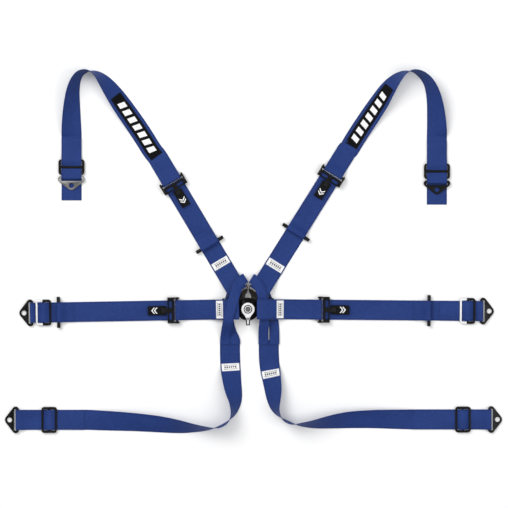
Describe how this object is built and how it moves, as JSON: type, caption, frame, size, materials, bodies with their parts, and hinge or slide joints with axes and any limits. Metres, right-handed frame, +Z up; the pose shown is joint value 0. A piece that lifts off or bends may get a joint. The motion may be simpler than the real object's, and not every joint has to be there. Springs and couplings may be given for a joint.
{
  "type": "racing harness",
  "caption": "Rotary-buckle racing harness laid flat, with shoulder, lap and crotch straps, tilt-lock adjusters, slides and bolt-in end brackets.",
  "frame": {"origin": "centre of the rotary buckle's back face, on the surface the harness lies on", "axes": "+X along the lap belts to the right as laid, +Y towards the shoulder straps, +Z up from the surface"},
  "size_m": [1.2425, 0.9067, 0.0503],
  "materials": {
    "webbing": "woven",
    "black_metal": "gloss",
    "dark_steel": "satin",
    "silver_metal": "polished",
    "tab_rubber": "satin",
    "grey_steel": "satin"
  },
  "bodies": {
    "buckle_and_crotch_straps": {"buckle_base": "black_metal", "buckle_housing": "black_metal", "buckle_cover": "black_metal", "spindle_bolt": "dark_steel", "return_spring": "dark_steel", "left_leg_loop": "webbing", "left_leg_webbing": "webbing", "left_leg_slide": "black_metal", "right_leg_loop": "webbing", "right_leg_webbing": "webbing", "right_leg_slide": "black_metal"},
    "release_lever": {"release_lever": "silver_metal", "cam_sleeve": "dark_steel"},
    "latch": {"latch_plate": "dark_steel"},
    "left_shoulder_belt": {"left_shoulder_tongue": "dark_steel", "left_shoulder_lower_webbing": "webbing", "left_shoulder_upper_webbing": "webbing", "left_shoulder_free_end": "webbing", "left_shoulder_pull_bar": "black_metal", "left_shoulder_slide": "black_metal"},
    "left_shoulder_adjuster": {"left_shoulder_adjuster_frame": "black_metal", "left_shoulder_grip_bar": "dark_steel", "left_shoulder_release_tab": "tab_rubber", "left_shoulder_grip_turn": "webbing"},
    "left_shoulder_anchor": {"left_shoulder_bracket": "grey_steel"},
    "right_shoulder_belt": {"right_shoulder_tongue": "dark_steel", "right_shoulder_lower_webbing": "webbing", "right_shoulder_upper_webbing": "webbing", "right_shoulder_free_end": "webbing", "right_shoulder_pull_bar": "black_metal", "right_shoulder_slide": "black_metal"},
    "right_shoulder_adjuster": {"right_shoulder_adjuster_frame": "black_metal", "right_shoulder_grip_bar": "dark_steel", "right_shoulder_release_tab": "tab_rubber", "right_shoulder_grip_turn": "webbing"},
    "right_shoulder_anchor": {"right_shoulder_bracket": "grey_steel"},
    "left_lap_belt": {"left_lap_tongue": "dark_steel", "left_lap_inner_webbing": "webbing", "left_lap_outer_webbing": "webbing", "left_lap_free_end": "webbing", "left_lap_pull_bar": "black_metal", "left_lap_slide": "silver_metal"},
    "left_lap_adjuster": {"left_lap_adjuster_frame": "black_metal", "left_lap_grip_bar": "dark_steel", "left_lap_release_tab": "tab_rubber", "left_lap_grip_turn": "webbing"},
    "left_lap_anchor": {"left_lap_bracket": "black_metal"},
    "right_lap_belt": {"right_lap_tongue": "dark_steel", "right_lap_inner_webbing": "webbing", "right_lap_outer_webbing": "webbing", "right_lap_free_end": "webbing", "right_lap_pull_bar": "black_metal", "right_lap_slide": "silver_metal"},
    "right_lap_adjuster": {"right_lap_adjuster_frame": "black_metal", "right_lap_grip_bar": "dark_steel", "right_lap_release_tab": "tab_rubber", "right_lap_grip_turn": "webbing"},
    "right_lap_anchor": {"right_lap_bracket": "black_metal"},
    "left_leg_anchor": {"left_leg_bracket": "black_metal"},
    "right_leg_anchor": {"right_leg_bracket": "black_metal"}
  },
  "joints": [
    {"name": "release_lever_turn", "type": "hinge", "parent": "buckle_and_crotch_straps", "child": "release_lever", "pos_m": [0, 0, 0.027], "axis": [0, 0, -1], "range_deg": [0, 45], "stiffness_Nm_per_rad": 0.01},
    {"name": "latch_lift", "type": "slide", "parent": "buckle_and_crotch_straps", "child": "latch", "axis": [0, 0, 1], "range_m": [0, 0.0056]},
    {"name": "left_shoulder_release", "type": "slide", "parent": "buckle_and_crotch_straps", "child": "left_shoulder_belt", "axis": [-0.512, 0.859, 0], "range_m": [0, 0.0066]},
    {"name": "left_shoulder_adjuster_tilt", "type": "hinge", "parent": "left_shoulder_belt", "child": "left_shoulder_adjuster", "pos_m": [-0.19099, 0.32039, 0.0076], "axis": [-0.859, -0.512, 0], "range_deg": [0, 30]},
    {"name": "right_shoulder_release", "type": "slide", "parent": "buckle_and_crotch_straps", "child": "right_shoulder_belt", "axis": [0.5299, 0.848, 0], "range_m": [0, 0.0066]},
    {"name": "right_shoulder_adjuster_tilt", "type": "hinge", "parent": "right_shoulder_belt", "child": "right_shoulder_adjuster", "pos_m": [0.2125, 0.34007, 0.0076], "axis": [-0.848, 0.5299, 0], "range_deg": [0, 30]},
    {"name": "left_lap_release", "type": "slide", "parent": "buckle_and_crotch_straps", "child": "left_lap_belt", "axis": [-0.9998, -0.0175, 0], "range_m": [0, 0.0066]},
    {"name": "left_lap_adjuster_tilt", "type": "hinge", "parent": "left_lap_belt", "child": "left_lap_adjuster", "pos_m": [-0.17697, -0.00309, 0.0076], "axis": [-0.0175, 0.9998, 0], "range_deg": [0, 30]},
    {"name": "right_lap_release", "type": "slide", "parent": "buckle_and_crotch_straps", "child": "right_lap_belt", "axis": [1, -0.0087, 0], "range_m": [0, 0.0066]},
    {"name": "right_lap_adjuster_tilt", "type": "hinge", "parent": "right_lap_belt", "child": "right_lap_adjuster", "pos_m": [0.17999, -0.00157, 0.0076], "axis": [-0.0087, -1, 0], "range_deg": [0, 30]},
    {"name": "left_shoulder_bracket_swing", "type": "hinge", "parent": "left_shoulder_belt", "child": "left_shoulder_anchor", "pos_m": [-0.441, 0.3285, 0.0064], "axis": [-1, 0, 0], "range_deg": [0, 45]},
    {"name": "right_shoulder_bracket_swing", "type": "hinge", "parent": "right_shoulder_belt", "child": "right_shoulder_anchor", "pos_m": [0.472, 0.318, 0.0064], "axis": [-1, 0, 0], "range_deg": [0, 45]},
    {"name": "left_lap_bracket_swing", "type": "hinge", "parent": "left_lap_belt", "child": "left_lap_anchor", "pos_m": [-0.53992, -0.00942, 0.0049], "axis": [-0.0175, 0.9998, 0], "range_deg": [0, 45]},
    {"name": "right_lap_bracket_swing", "type": "hinge", "parent": "right_lap_belt", "child": "right_lap_anchor", "pos_m": [0.58298, -0.00509, 0.0049], "axis": [-0.0087, -1, 0], "range_deg": [0, 45]},
    {"name": "left_leg_bracket_swing", "type": "hinge", "parent": "buckle_and_crotch_straps", "child": "left_leg_anchor", "pos_m": [-0.576, -0.277, 0.0049], "axis": [0, 1, 0], "range_deg": [0, 45]},
    {"name": "right_leg_bracket_swing", "type": "hinge", "parent": "buckle_and_crotch_straps", "child": "right_leg_anchor", "pos_m": [0.6035, -0.276, 0.0049], "axis": [0, -1, 0], "range_deg": [0, 45]}
  ],
  "couplings": [
    {"joint": "release_lever_turn", "follows": "left_shoulder_release", "rad_per_m": 118.8},
    {"joint": "latch_lift", "follows": "left_shoulder_release", "ratio": 0.84},
    {"joint": "right_shoulder_release", "follows": "left_shoulder_release", "ratio": 1},
    {"joint": "left_lap_release", "follows": "left_shoulder_release", "ratio": 1},
    {"joint": "right_lap_release", "follows": "left_shoulder_release", "ratio": 1}
  ]
}
